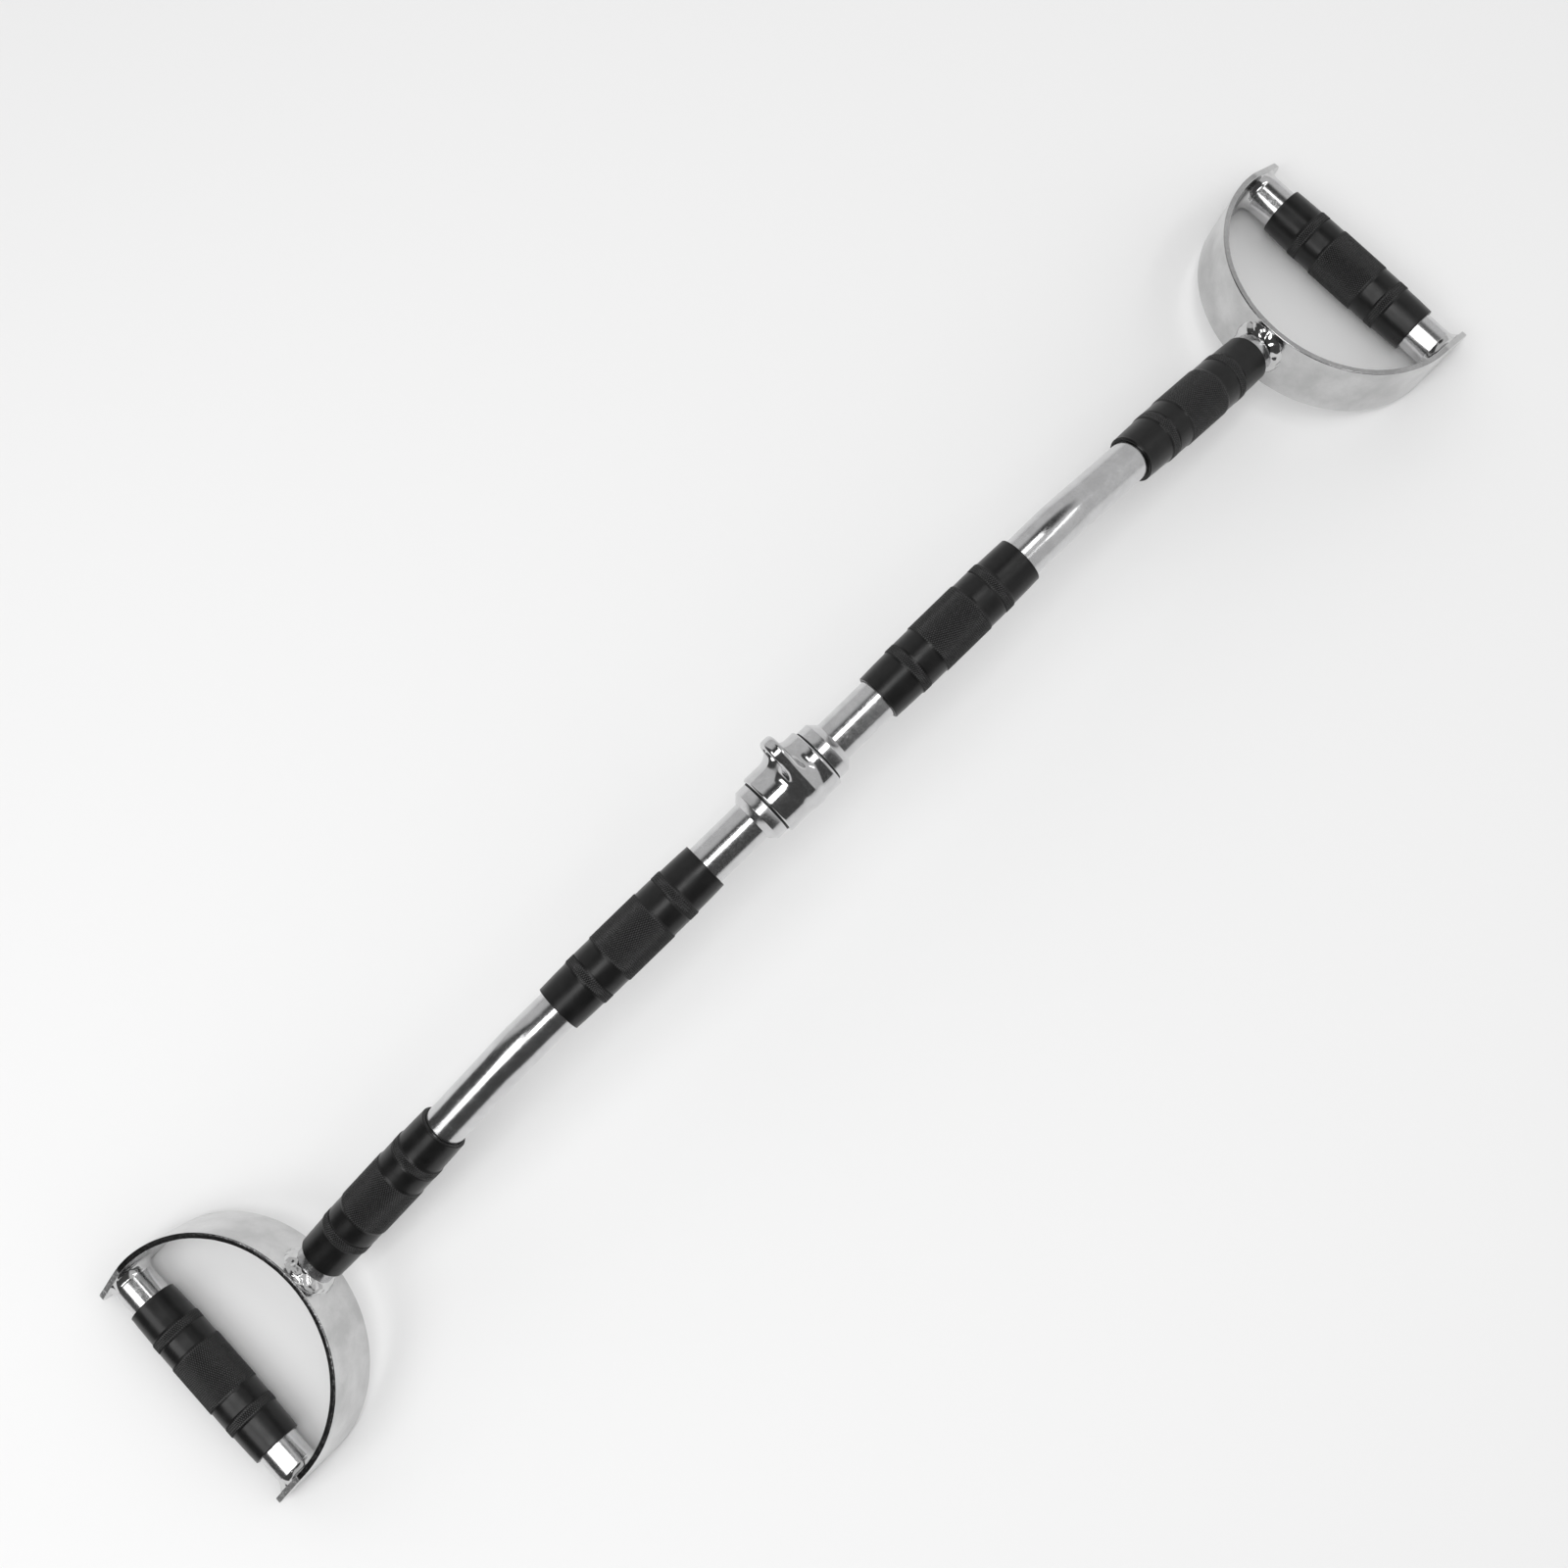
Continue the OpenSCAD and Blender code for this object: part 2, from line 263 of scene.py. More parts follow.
# ------------------------------------------------------------------ mesh tools
def mesh_object(name, verts, faces, place, mat, body, stands_for, sharp=35.0, normals=None):
    """One finished piece: mesh in metres, in place, shaded smooth except over sharp edges."""
    verts = np.asarray(verts, dtype=float)
    t = np.array(place)
    verts = (verts @ t[:3, :3].T + t[:3, 3]) / 1000.0
    me = bpy.data.meshes.new(name)
    me.from_pydata(verts.tolist(), [], faces)
    me.validate()
    bm = bmesh.new()
    bm.from_mesh(me)
    bmesh.ops.recalc_face_normals(bm, faces=bm.faces)
    limit = math.radians(sharp)
    for e in bm.edges:
        e.smooth = len(e.link_faces) != 2 or e.calc_face_angle(0.0) < limit
    for f in bm.faces:
        f.smooth = True
    bm.to_mesh(me)
    bm.free()
    if normals is not None:
        n = np.asarray(normals) @ t[:3, :3].T
        me.normals_split_custom_set_from_vertices((n / np.linalg.norm(n, axis=1)[:, None]).tolist())
    me.materials.append(mat)
    o = bpy.data.objects.new(name, me)
    bpy.context.scene.collection.objects.link(o)
    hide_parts(stands_for)
    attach(o, body)
    return o


def skin(rings, closed_path=False, caps=False):
    """Quads between rings of equal length; each ring is closed. Returns verts and faces."""
    n = len(rings[0])
    verts = np.concatenate(rings)
    k = len(rings)
    faces = []
    for i in range(k if closed_path else k - 1):
        a, b = i * n, ((i + 1) % k) * n
        faces += [(a + j, a + (j + 1) % n, b + (j + 1) % n, b + j) for j in range(n)]
    if caps:
        faces += [tuple(range(n))[::-1], tuple(range((k - 1) * n, k * n))]
    return verts, faces


def circle(r, z, n):
    """n points of radius r round the Z axis, at height z."""
    a = np.arange(n) * 2 * math.pi / n
    return np.stack([r * np.cos(a), r * np.sin(a), np.full(n, float(z))], axis=1)


def lathe(profile):
    """A closed ring round +Z from a closed loop of (radius, z)."""
    return skin([circle(r, z, ROUND) for r, z in profile], closed_path=True)


def rounded(points, radii):
    """A closed polygon with its corners rounded, each by its own radius."""
    steps = 4
    out = []
    k = len(points)
    for i in range(k):
        p, a, b = (np.array(points[j], dtype=float) for j in (i, i - 1, (i + 1) % k))
        r = radii[i]
        if r <= 0:
            out.append(tuple(p))
            continue
        u, v = (a - p) / np.linalg.norm(a - p), (b - p) / np.linalg.norm(b - p)
        half = math.acos(max(-1.0, min(1.0, float(u @ v)))) / 2
        reach = r / math.tan(half)
        centre = p + (u + v) / np.linalg.norm(u + v) * (r / math.sin(half))
        s, e = p + u * reach - centre, p + v * reach - centre
        turn = math.pi - 2 * half
        for j in range(steps + 1):
            t = j / steps
            w = (s * math.sin((1 - t) * turn) + e * math.sin(t * turn)) / math.sin(turn)
            out.append(tuple(centre + w))
    return out


def wander(p, scale):
    """A smooth, fixed wandering value of about -1 to 1 at a point."""
    return noise.fractal(Vector(p) * scale, 0.7, 2.0, 2)


# ------------------------------------------------------------------ bent tube
def tube_path():
    """(x, z, downward lean, flattening) along the bar's axis, from the left end to the right end."""
    bend_steps = 40
    into_strap = 0.9
    start = BEND_X - BEND_TANGENT
    reach = STRAP_DISTANCE - BEND_TANGENT + into_strap
    half = [(x, 0.0, 0.0, 0.0) for x in np.linspace(0, start, 16)]
    for i in range(1, bend_steps + 1):
        a = BEND_ANGLE * i / bend_steps
        half.append((start + BEND_RADIUS * math.sin(a), -BEND_RADIUS * (1 - math.cos(a)), a,
                     math.sin(math.pi * i / bend_steps) ** 2))
    ex, ez, _, _ = half[-1]
    for d in np.linspace(0, reach, 15)[1:]:
        half.append((ex + d * math.cos(BEND_ANGLE), ez - d * math.sin(BEND_ANGLE), BEND_ANGLE, 0.0))
    return [(-x, z, -a, squeeze) for x, z, a, squeeze in reversed(half[1:])] + half


def build_main_tube():
    oval = 0.012  # share of the radius that the bends flatten
    t = np.arange(ROUND) * 2 * math.pi / ROUND
    rings = []
    for x, z, a, squeeze in tube_path():
        y = TUBE_R * (1 + oval * squeeze) * np.cos(t)
        up = TUBE_R * (1 - oval * squeeze) * np.sin(t)
        rings.append(np.stack([x + up * math.sin(a), y, z + up * math.cos(a)], axis=1))
    verts, faces = skin(rings, caps=True)
    mesh_object("bent_tube", verts, faces, shift(z=AXIS_HEIGHT), POLISHED, "bar", "main_tube",
                sharp=60)


# ------------------------------------------------------------------ D straps
ARC_STEPS = 96
CORNER = 0.6  # rounding of the strap's four long edges


def strap_stations():
    """(plan point, inward normal, half width) from one tip round the D to the other."""
    drop = HALF_WIDTH - TIP_RADIUS
    slope = math.asin(drop / math.hypot(TIP_CENTRE - TAPER_START, drop))
    touch = TIP_CENTRE + TIP_RADIUS * math.sin(slope)
    w_touch = TIP_RADIUS * math.cos(slope)
    leg = []
    for t in np.linspace(math.radians(89), slope, 14):
        leg.append((TIP_CENTRE + TIP_RADIUS * math.sin(t), TIP_RADIUS * math.cos(t)))
    for t in np.linspace(0, 1, 26)[1:]:
        w = w_touch + (HALF_WIDTH - w_touch) * t
        # round off the corner where the taper starts
        ease = max(0.0, w - (HALF_WIDTH - 2.4))
        leg.append((touch + (TAPER_START - touch) * t, w - 0.14 * ease ** 2))
    leg = sorted(leg, key=lambda q: -q[0])
    out = [(np.array([a, D_RADIUS]), np.array([0.0, -1.0]), w) for a, w in leg]
    for i in range(ARC_STEPS + 1):
        t = math.pi * i / ARC_STEPS
        along = D_RADIUS * min(t, math.pi - t)
        # the other half of the rounded corner
        short = 0.80 * max(0.0, 1 - along / 9) ** 2
        p = np.array([D_RADIUS - D_RADIUS * math.sin(t), D_RADIUS * math.cos(t)])
        out.append((p, (np.array([D_RADIUS, 0.0]) - p) / D_RADIUS, HALF_WIDTH - short))
    out += [(np.array([a, -D_RADIUS]), np.array([0.0, 1.0]), w) for a, w in reversed(leg)]
    return out


def strap_section(w):
    """Flat bar section with its corners eased: (depth from the outer face, height)."""
    r, t = CORNER, STRAP_THICKNESS
    pts = []
    for cx, cz, a0 in ((t - r, w - r, 0), (r, w - r, 90), (r, -w + r, 180), (t - r, -w + r, 270)):
        for k in range(5):
            a = math.radians(a0 + 22.5 * k)
            pts.append((cx + r * math.cos(a), cz + r * math.sin(a)))
    # rows across the two broad faces, so that their waviness has points to move
    full = []
    for i, p in enumerate(pts):
        full.append(p)
        q = pts[(i + 1) % len(pts)]
        if abs(q[1] - p[1]) > 4 * r or (i % 5 == 4 and abs(q[1] - p[1]) > 1e-6):
            for k in range(1, 8):
                full.append((p[0] + (q[0] - p[0]) * k / 8, p[1] + (q[1] - p[1]) * k / 8))
    return full


def build_strap(side, name, node):
    """The strap's edges get a painted dark reflection in the plate's colour, most of all on the left D.

    A point attribute on the mesh tells the material where.
    """
    # strength of the painted dark reflection on the edges: full on the left D, faint on the right
    edge_darkness = 1.0 if side < 0 else 0.22
    rings, dark_edge_reflection = [], []
    for p, inward, w in strap_stations():
        ring = []
        for depth, z in strap_section(w):
            q = p + inward * depth
            wave = 0.10 * wander((q[0] + side * 300, q[1], z), 0.05)
            edge = 0.07 * wander((q[0], q[1] + side * 200, z), 0.22) if abs(z) > w - 2 * CORNER else 0.0
            q = q + inward * wave * min(1.0, w / HALF_WIDTH)
            ring.append((q[0], q[1], z + (edge if z > 0 else -edge)))
            dark_edge_reflection.append(edge_darkness if abs(z) > w - 0.35 else 0.0)
        rings.append(np.array(ring))
    verts, faces = skin(rings, caps=True)
    o = mesh_object(name, verts, faces, d_frame(side), STRAP_PLATE, "bar", node, sharp=50)
    o.data.attributes.new("dark_edge_reflection", "FLOAT", "POINT").data.foreach_set("value", dark_edge_reflection)


# ------------------------------------------------------------------ welds
def build_bar_weld(side, name, node):
    """A lumpy bead round the coped end of the bar, built up in overlapping ripples."""
    n, rows = 160, 22
    seed = 11.0 if side > 0 else 53.0  # where in the noise each bead's lumps are taken
    rings = []
    for i in range(rows + 1):
        t = i / rows
        ring = []
        for j in range(n):
            a = 2 * math.pi * j / n
            # heaviest on the side the welder could reach, along the top of the strap
            top = 0.5 + 0.5 * math.sin(a + 0.35 * side)
            drift = wander((math.cos(a) * 3, math.sin(a) * 3, seed), 0.35)
            reach = 4.4 + 2.3 * top ** 2 + 0.9 * drift
            leg = 3.4 + 1.7 * top + 0.9 * wander((math.cos(a) * 3, math.sin(a) * 3, seed + 9), 0.4)
            swell = math.sin(math.pi * t) ** 0.8
            r = TUBE_R - 0.25 + reach * t ** 1.15 + 0.8 * swell
            x = -leg * (1 - t) ** 1.15 - 0.8 * swell
            lobe = 5 * a + 1.3 * math.sin(2 * a + seed) + 2.4 * t
            ripple = (0.34 + 0.30 * top) * (abs(math.sin(lobe)) ** 0.6 - 0.6)
            lump = (0.35 + 0.75 * top) * wander((r * math.cos(a), r * math.sin(a), x + seed), 0.16)
            push = swell * (ripple + lump)
            r += push * 0.7
            x -= push * 0.7
            y = r * math.cos(a)
            sag = D_RADIUS - math.sqrt(D_RADIUS ** 2 - y * y)
            ring.append((x + sag * min(1.0, t * 1.3) + 0.35 * t, y, r * math.sin(a)))
        rings.append(np.array(ring))
    # close the bead inside the metal
    inner = [rings[-1] * np.array([1, 0.66, 0.66]) + np.array([1.2, 0, 0]),
             rings[0] * np.array([1, 0.97, 0.97]) + np.array([0.4, 0, 0])]
    verts, faces = skin(rings + inner, closed_path=True)
    mesh_object(name, verts, faces, d_frame(side), BEAD, "bar", node, sharp=70)


def build_handle_weld(side, edge, name, node):
    """A smooth flared fillet from the handle tube onto the inside of the strap's leg."""
    rows = 14
    seed = 5.0 * edge + 31.0 * side
    leg = HANDLE_WELD_LEG
    taper = (HALF_WIDTH - TIP_RADIUS) / (TIP_CENTRE - TAPER_START)
    rings = []
    for i in range(rows + 1):
        t = math.pi / 2 * i / rows
        toe_step = min(0.46, 0.46 * i)
        ring = []
        for j in range(ROUND):
            a = 2 * math.pi * j / ROUND
            grow = 1 + 0.16 * wander((math.cos(a) * 2, math.sin(a) * 2, seed), 0.6)
            out = leg * grow * (1 - math.cos(t))
            up = leg * 1.25 * grow * (1 - math.sin(t))
            ripple = 0.16 * math.sin(9 * a + 2 * math.sin(2 * a) + seed) * math.sin(2 * t) ** 2
            r = TUBE_R - 0.3 + toe_step + out + ripple
            u, w = r * math.cos(a), r * math.sin(a)
            # the strap is narrower than the flare: keep inside its tapering edges
            depth = HANDLE_DEPTH + u
            room = HALF_WIDTH - taper * (depth - TAPER_START)
            room = max(TUBE_R * abs(math.sin(a)), min(HALF_WIDTH, room) - 0.5)
            w = max(-room, min(room, w))
            ring.append((depth, edge * (STRAP_INNER - up), w))
        rings.append(np.array(ring))
    # close the bead inside the metal
    centre = np.array([HANDLE_DEPTH, 0, 0])
    base = [(rings[-1] - centre) * np.array([0.7, 1, 0.7]) + centre + np.array([0, edge * 0.6, 0]),
            (rings[0] - centre) * np.array([0.96, 1, 0.96]) + centre + np.array([0, edge * 0.5, 0])]
    verts, faces = skin(rings + base, closed_path=True)
    mesh_object(name, verts, faces, d_frame(side), BEAD, "bar", node, sharp=60)


# ------------------------------------------------------------------ handle tubes
def build_handle_tube(side, name, node):
    half = STRAP_INNER + 0.4
    verts, faces = skin([circle(TUBE_R, z, ROUND) for z in np.linspace(-half, half, 40)], caps=True)
    mesh_object(name, verts, faces, handle_frame(side), POLISHED, "bar", node, sharp=60)


# ------------------------------------------------------------------ rubber grips
SEGMENTS = 144  # two for each of the 72 raised points round a knurled ring
KNURL_DEPTH = 0.5


def knurl(verts, faces, start, crest, z0, z1, rows):
    """Staggered raised points from the ring of verts at start (height z0) to a new ring at z1.

    Adds to verts and faces, and returns where the new ring starts.
    """
    step = (z1 - z0) / (rows + 1)
    valley = crest - KNURL_DEPTH
    ang = 2 * math.pi / SEGMENTS

    def point(r, a, z):
        verts.append((r * math.cos(a * ang), r * math.sin(a * ang), z))
        return len(verts) - 1

    # nodes[row][a] is the valley point at segment a; every other one exists, staggered by row
    nodes = [{a: start + a for a in range(SEGMENTS)}]
    for i in range(1, rows + 1):
        places = [(2 * k + 1 + i % 2) % SEGMENTS for k in range(SEGMENTS // 2)]
        nodes.append({a: point(valley, a, z0 + i * step) for a in places})
    first = len(verts)
    for a in range(SEGMENTS):
        point(valley, a, z1)
    nodes.append({a: first + a for a in range(SEGMENTS)})
    for i in range(1, rows + 1):
        z = z0 + i * step
        for k in range(SEGMENTS // 2):
            a = 2 * k + i % 2
            west, east = nodes[i][(a - 1) % SEGMENTS], nodes[i][(a + 1) % SEGMENTS]
            south, north = nodes[i - 1][a % SEGMENTS], nodes[i + 1][a % SEGMENTS]
            outer = (west, south, east, north)
            low = [point(crest - 0.10, a + da * 0.5, z + dz * 0.5 * step)
                   for da, dz in ((-1, 0), (0, -1), (1, 0), (0, 1))]
            top = point(crest, a, z)
            for q in range(4):
                faces.append((outer[q], outer[(q + 1) % 4], low[(q + 1) % 4], low[q]))
                faces.append((low[q], low[(q + 1) % 4], top))
    # flat triangles that fill the zigzag at both ends
    for i, row in ((0, 1), (rows + 1, rows)):
        ring = nodes[i]
        for a in nodes[row]:
            faces.append((ring[(a - 1) % SEGMENTS], ring[a], nodes[row][a]))
            faces.append((ring[a], ring[(a + 1) % SEGMENTS], nodes[row][a]))
    return first


def grip_mesh():
    """One grip along Z: lip, neck, narrow band, recess, middle band, and the same again."""
    half = GRIP_LENGTH / 2
    narrow, recess, shoulder, neck = GRIP_NARROW_R, GRIP_RECESS_R, GRIP_SHOULDER_R, GRIP_NECK_R
    narrow_valley = narrow - KNURL_DEPTH
    verts, faces = [], []

    def ring(r, z):
        verts.extend(circle(r, z, SEGMENTS).tolist())
        return len(verts) - SEGMENTS

    def join(a, b):
        faces.extend((a + j, a + (j + 1) % SEGMENTS, b + (j + 1) % SEGMENTS, b + j) for j in range(SEGMENTS))

    def run(last, pairs):
        for r, z in pairs:
            new = ring(r, z)
            join(last, new)
            last = new
        return last

    lip = [(TUBE_R + 0.06, -half + 0.35), (TUBE_R + 0.35, -half + 0.05), (neck - 0.55, -half),
           (neck - 0.15, -half + 0.12), (neck + 0.05, -half + 0.45), (neck - 0.02, -half + 0.9)]
    body = [(neck + 0.03, -half + 2.0), (neck + 0.25, -half + 7.0), (shoulder - 0.12, -half + 14.0),
            (shoulder, -BAND_END - 1.1), (shoulder + 0.05, -BAND_END - 0.55),
            (narrow_valley - 0.12, -BAND_END - 0.12)]
    first = ring(*lip[0])
    last = run(first, lip[1:] + body + [(narrow_valley, -BAND_END)])
    last = knurl(verts, faces, last, narrow, -BAND_END, -BAND_START, 4)
    last = run(last, [(recess - 0.03, -BAND_START + 0.25), (recess, -BAND_START + 0.7),
                      (recess + 0.03, -(BAND_START + MIDDLE_BAND) / 2), (recess, -MIDDLE_BAND - 0.9),
                      (recess + 0.02, -MIDDLE_BAND - 0.35), (GRIP_R - KNURL_DEPTH, -MIDDLE_BAND)])
    last = knurl(verts, faces, last, GRIP_R, -MIDDLE_BAND, MIDDLE_BAND, 26)
    last = run(last, [(recess + 0.02, MIDDLE_BAND + 0.35), (recess, MIDDLE_BAND + 0.9),
                      (recess + 0.03, (BAND_START + MIDDLE_BAND) / 2), (recess, BAND_START - 0.7),
                      (recess - 0.03, BAND_START - 0.25), (narrow_valley, BAND_START)])
    last = knurl(verts, faces, last, narrow, BAND_START, BAND_END, 4)
    last = run(last, [(r, -z) for r, z in reversed(lip + body)])
    join(last, first)
    return verts, faces


GRIP_VERTS, GRIP_FACES = grip_mesh()


def raised_share(x, y, z):
    """0 in the knurl's valleys and on smooth rubber, 1 on the crests."""
    if abs(z) < MIDDLE_BAND - 0.1:
        crest = GRIP_R
    elif BAND_START < abs(z) < BAND_END:
        crest = GRIP_NARROW_R
    else:
        return 0.0
    return max(0.0, 1 - (crest - math.hypot(x, y)) / KNURL_DEPTH)


GRIP_RAISED = [raised_share(*v) for v in GRIP_VERTS]


def build_grip(place, name, node):
    """The knurl's height is kept on its points; the material pales the crests, partly as scuffed rubber and
    partly as a painted highlight.
    """
    o = mesh_object(name, GRIP_VERTS, GRIP_FACES, place, RUBBER, "bar", node, sharp=50)
    o.data.attributes.new("raised", "FLOAT", "POINT").data.foreach_set("value", GRIP_RAISED)


# ------------------------------------------------------------------ hanger
def smooth_min(a, b, k):
    """The lesser of two distances, with a fillet of about size k where they meet."""
    h = np.clip(0.5 + 0.5 * (b - a) / k, 0, 1)
    return b * (1 - h) + a * h - k * h * (1 - h)


def slab(a, b, edge):
    """Distance to where both a and b are below zero, with the edge between them rounded."""
    a, b = a + edge, b + edge
    return np.hypot(np.maximum(a, 0), np.maximum(b, 0)) + np.minimum(np.maximum(a, b), 0) - edge


def hanger_distance(p):
    """Signed distance to the hanger casting, lug up along +Z, bar along X."""
    x, y, z = p[..., 0], p[..., 1], p[..., 2]
    rho = np.hypot(y, z)
    barrel = slab(rho - BARREL_R, np.abs(x) - BARREL_LENGTH / 2, 1.5)
    # tapered plate between a circle at the barrel's axis and one round the eye
    r1, r2, h = BARREL_R - 0.2, LUG_RADIUS, EYE_HEIGHT
    b = (r1 - r2) / h
    a = math.sqrt(1 - b * b)
    py = np.abs(y)
    k = -b * py + a * z
    flat = np.where(k < 0, rho - r1, np.where(k > a * h, np.hypot(py, z - h) - r2, a * py + b * z - r1))
    lug = slab(flat, np.abs(x - LUG_OFFSET) - LUG_THICKNESS / 2, LUG_ROUND + 1.0)
    # the fillet between barrel and lug widens towards the eye
    up = np.clip((z + 4) / 26, 0, 1)
    body = smooth_min(barrel, lug, 3.6 + 4.6 * up * up * (3 - 2 * up))
    eye = EYE_RADIUS - np.hypot(y, z - EYE_HEIGHT)
    body = -smooth_min(-body, -eye, 4.0)
    bore = BARREL_BORE_R - rho
    return -smooth_min(-body, -bore, 0.4)


def gradient(f, p):
    """The slope of f at each point, by central differences."""
    e = 0.02
    g = np.empty_like(p)
    for i in range(3):
        d = np.zeros(3)
        d[i] = e
        g[:, i] = (f(p + d) - f(p - d)) / (2 * e)
    return g


def surface_net(f, low, high, step):
    """A quad mesh on f = 0, with its points drawn onto the surface, and the normals there."""
    axes = [np.arange(low[i], high[i] + step, step) for i in range(3)]
    grid = np.stack(np.meshgrid(*axes, indexing="ij"), axis=-1)
    v = f(grid)
    inside = v < 0
    n = [len(a) - 1 for a in axes]

    def corner(arr, c):
        """The values at one corner of every cell."""
        return arr[c[0]:c[0] + n[0], c[1]:c[1] + n[1], c[2]:c[2] + n[2]]

    total = np.zeros((*n, 3))
    count = np.zeros(n)
    corners = [(i, j, k) for i in (0, 1) for j in (0, 1) for k in (0, 1)]
    for c in corners:
        for axis in range(3):
            if c[axis]:
                continue
            d = tuple(c[i] + (i == axis) for i in range(3))
            va, vb = corner(v, c), corner(v, d)
            cross = corner(inside, c) != corner(inside, d)
            t = np.where(cross, va / np.where(cross, va - vb, 1), 0)
            for i in range(3):
                total[..., i] += np.where(cross, c[i] + (t if i == axis else 0), 0)
            count += cross
    live = count > 0
    index = np.full(n, -1)
    index[live] = np.arange(live.sum())
    cells = np.argwhere(live)
    verts = np.array(low) + (cells + total[live] / count[live][:, None]) * step
    for _ in range(4):
        g = gradient(f, verts)
        verts -= g * (f(verts) / np.maximum((g * g).sum(axis=1), 1e-9))[:, None]
    faces = []
    for axis in range(3):
        u, w = [i for i in range(3) if i != axis]
        before, after = [slice(None)] * 3, [slice(None)] * 3
        before[axis], after[axis] = slice(0, -1), slice(1, None)
        for q in np.argwhere(inside[tuple(before)] != inside[tuple(after)]):
            ring = []
            for du, dw in ((-1, -1), (0, -1), (0, 0), (-1, 0)):
                c = q.copy()
                c[u] += du
                c[w] += dw
                ring.append(int(index[tuple(c)]))
            faces.append(tuple(ring))
    return verts, faces, gradient(f, verts)


def build_hanger():
    reach, top = 23.3, 45.1  # a little beyond the casting
    verts, faces, normals = surface_net(hanger_distance, (-reach, -reach, -reach), (reach, reach, top), 0.62)
    mesh_object("hanger_casting", verts, faces, HANGER_FRAME, FORGED, "hanger", "swivel_body",
                sharp=75, normals=normals)


def build_collar(side, name, node):
    x = BARREL_LENGTH / 2 + FLANGE_THICKNESS + AXIAL_PLAY
    profile = rounded([(TUBE_R - 0.1, x), (COLLAR_R, x), (COLLAR_R, x + COLLAR_LENGTH - COLLAR_CHAMFER),
                       (COLLAR_R - COLLAR_CHAMFER, x + COLLAR_LENGTH), (TUBE_R - 0.1, x + COLLAR_LENGTH)],
                      [0, 0.45, 0.4, 0.12, 0])
    verts, faces = lathe(profile)
    mesh_object(name, verts, faces, half_frame(side) @ ALONG_X, POLISHED, "bar", node,
                sharp=40)


def build_bush(side, name, node):
    x = BARREL_LENGTH / 2
    bore = TUBE_R + RUNNING_PLAY
    sleeve = BARREL_BORE_R - 0.05
    profile = rounded([(bore, x - BUSH_LENGTH), (sleeve, x - BUSH_LENGTH), (sleeve, x),
                       (COLLAR_R, x), (COLLAR_R, x + FLANGE_THICKNESS), (bore, x + FLANGE_THICKNESS)],
                      [0.3, 0.3, 0, 0.2, 0.2, 0.2])
    verts, faces = lathe(profile)
    mesh_object(name, verts, faces, half_frame(side) @ ALONG_X, NYLON, "hanger", node,
                sharp=40)


# ------------------------------------------------------------------ the whole object
build_main_tube()
build_hanger()
for side, word in ((-1, "left"), (1, "right")):
    build_strap(side, f"{word}_d_strap", f"{word}_strap")
    build_bar_weld(side, f"{word}_bar_bead", f"{word}_bar_weld")
    build_handle_tube(side, f"{word}_side_handle_tube", f"{word}_handle_tube")
    # each D's frame is turned with its end, so its front leg is on the -side edge
    for edge, where in ((-side, "front"), (side, "back")):
        build_handle_weld(side, edge, f"{word}_{where}_handle_bead", f"{word}_{where}_handle_weld")
    build_grip(half_frame(side) @ shift(INNER_GRIP_X + GRIP_LENGTH / 2) @ ALONG_X,
               f"{word}_inner_rubber", f"{word}_inner_grip")
    build_grip(end_frame(side) @ shift(OUTER_GRIP_X + GRIP_LENGTH / 2) @ ALONG_X,
               f"{word}_outer_rubber", f"{word}_outer_grip")
    build_grip(handle_frame(side), f"{word}_handle_rubber", f"{word}_handle_grip")
    build_collar(side, f"{word}_fixed_collar", f"{word}_collar")
    build_bush(side, f"{word}_flanged_bush", f"{word}_swivel_bush")

# ------------------------------------------------------------------ camera, floor and light
scene = bpy.context.scene
cam_data = bpy.data.cameras.new("camera")
cam_data.sensor_width = 36.0
cam_data.lens = 41.364
cam_data.clip_end = 50
camera = bpy.data.objects.new("camera", cam_data)
scene.collection.objects.link(camera)
right = Vector((0.7153761822454028, -0.697364672825363, -0.04381131099575836))
down = Vector((-0.6951226095213291, -0.703901463636075, -0.14603864975837563))
ahead = Vector((0.0710033492748778, 0.1349268045503423, -0.9883082928952807))
turn = Matrix((right, -down, -ahead)).transposed()
place = shift(-0.0838049, -0.1478176, AXIS_HEIGHT / 1000 + 1.1003662)
camera.matrix_world = place @ turn.to_4x4()
scene.camera = camera

# a disc so wide that its far edge meets the background
FLOOR_R, FLOOR_POINTS = 30.0, 96
floor_mesh = bpy.data.meshes.new("floor")
floor_mesh.from_pydata(circle(FLOOR_R, 0.0, FLOOR_POINTS).tolist(), [], [tuple(range(FLOOR_POINTS))])
floor = bpy.data.objects.new("floor", floor_mesh)
floor_mat = material("floor_paper", (0.80, 0.80, 0.80), 0.8)
bumps(floor_mat, [(speckle(floor_mat, 40.0), 0.2, 0.0004)])
floor_mesh.materials.append(floor_mat)
scene.collection.objects.link(floor)


LIGHT_HEIGHT = 2.2


def soft_box(name, x, y, size, power, turn=0.0):
    """A rectangular light overhead, facing straight down."""
    data = bpy.data.lights.new(name, "AREA")
    data.shape = "RECTANGLE"
    data.size, data.size_y = size
    data.energy = power
    o = bpy.data.objects.new(name, data)
    o.location = (x, y, LIGHT_HEIGHT)
    o.rotation_euler = (0, 0, math.radians(turn))
    scene.collection.objects.link(o)


# soft boxes that draw the white lines down the chrome, and a wide fill that the chrome does not see
soft_box("centre_strip", -0.185, -0.12, (1.27, 0.62), 12)
soft_box("left_box", -1.87, 0.30, (1.75, 1.4), 23)
soft_box("right_box", 0.72, 0.32, (0.36, 0.7), 2.6)
soft_box("right_strip", 1.7, -0.87, (1.7, 0.3), 5, turn=19)
fill_data = bpy.data.lights.new("soft_fill", "SUN")
fill_data.energy = 1.3
fill_data.angle = math.radians(150)
fill = bpy.data.objects.new("soft_fill", fill_data)
fill.visible_glossy = False
scene.collection.objects.link(fill)

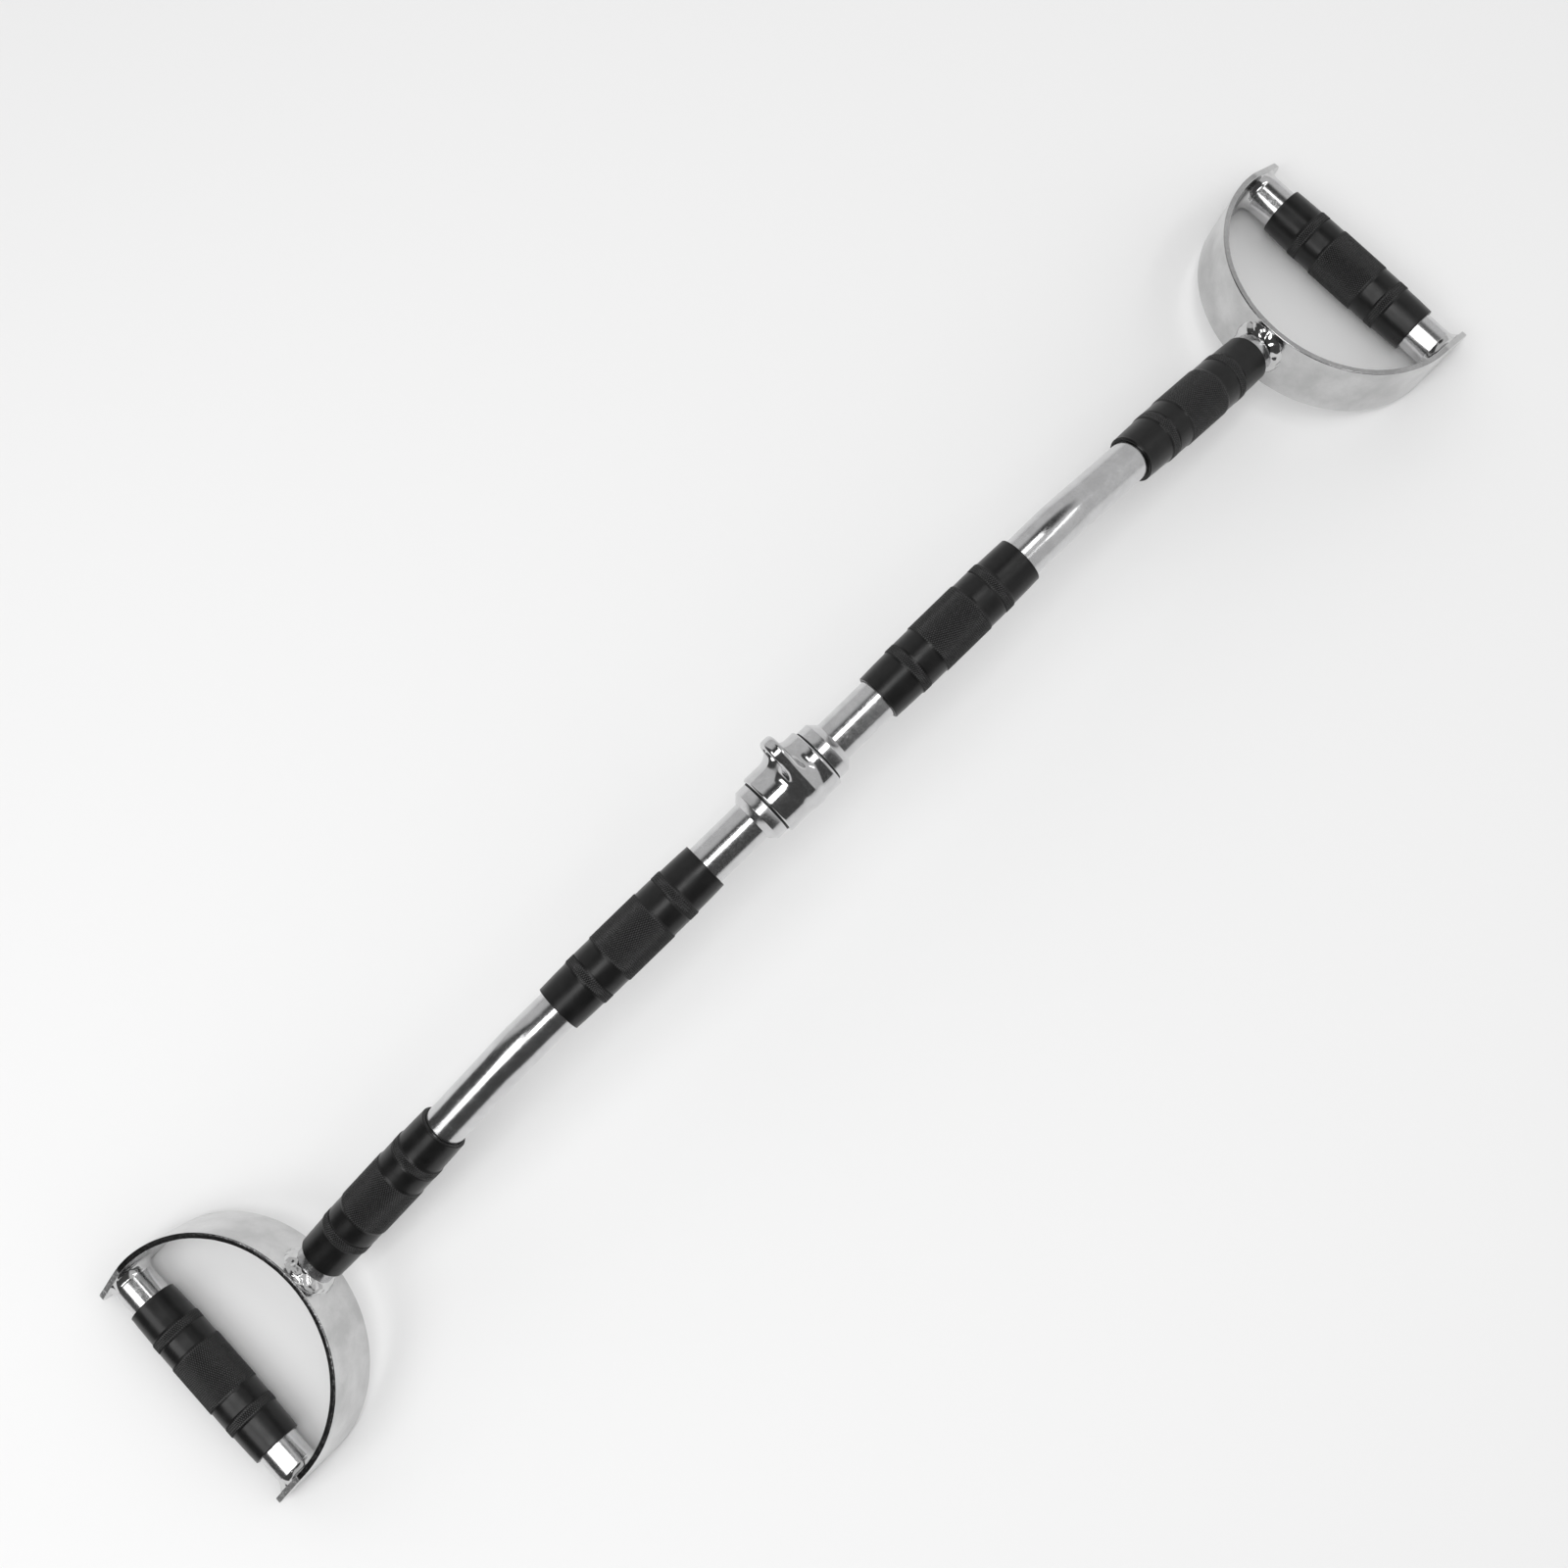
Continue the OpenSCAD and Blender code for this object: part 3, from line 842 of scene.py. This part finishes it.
# studio walls, as the chrome sees them: pale behind the object and to its right, dark elsewhere, with a
# dark flag overhead
DARK_WALL, PALE_WALL = 0.07, 0.62
FAR_FLOOR = 0.52  # the background, as pale as the far floor looks from the side
world = bpy.data.worlds.new("studio")
world.use_nodes = True
scene.world = world
wt = world.node_tree
bg = wt.nodes["Background"]
co = wt.nodes.new("ShaderNodeTexCoord")


def wall(direction, start, end, before, after):
    """A smooth change of brightness across the studio, between two shares of one direction."""
    dot = wt.nodes.new("ShaderNodeVectorMath")
    dot.operation = "DOT_PRODUCT"
    dot.inputs[1].default_value = direction
    wt.links.new(co.outputs["Generated"], dot.inputs[0])
    step = wt.nodes.new("ShaderNodeMapRange")
    step.interpolation_type = "SMOOTHSTEP"
    for key, value in (("From Min", start), ("From Max", end), ("To Min", before), ("To Max", after)):
        step.inputs[key].default_value = value
    wt.links.new(dot.outputs["Value"], step.inputs["Value"])
    return step


def join_walls(operation, a, b):
    n = wt.nodes.new("ShaderNodeMath")
    n.operation = operation
    wt.links.new(a.outputs[0], n.inputs[0])
    wt.links.new(b.outputs[0], n.inputs[1])
    return n


behind = wall((0.70, 0.72, 0.0), 0.30, 0.46, DARK_WALL, PALE_WALL)
to_the_right = wall((1.0, 0.0, 0.0), 0.13, 0.22, DARK_WALL, PALE_WALL)
dark_flag = wall((0.42, 0.30, 0.857), 0.90, 0.985, 1.0, 0.07)  # a share of the wall's brightness
shade = join_walls("MULTIPLY", join_walls("MAXIMUM", behind, to_the_right), dark_flag)
# the camera sees a plain background in place of the walls
seen = wt.nodes.new("ShaderNodeLightPath")
mix = wt.nodes.new("ShaderNodeMix")
mix.data_type = "RGBA"
mix.inputs["B"].default_value = (FAR_FLOOR, FAR_FLOOR, FAR_FLOOR, 1)
wt.links.new(seen.outputs["Is Camera Ray"], mix.inputs["Factor"])
wt.links.new(shade.outputs["Value"], mix.inputs["A"])
wt.links.new(mix.outputs["Result"], bg.inputs["Color"])
bg.inputs["Strength"].default_value = 1.0

scene.view_settings.view_transform = "Standard"
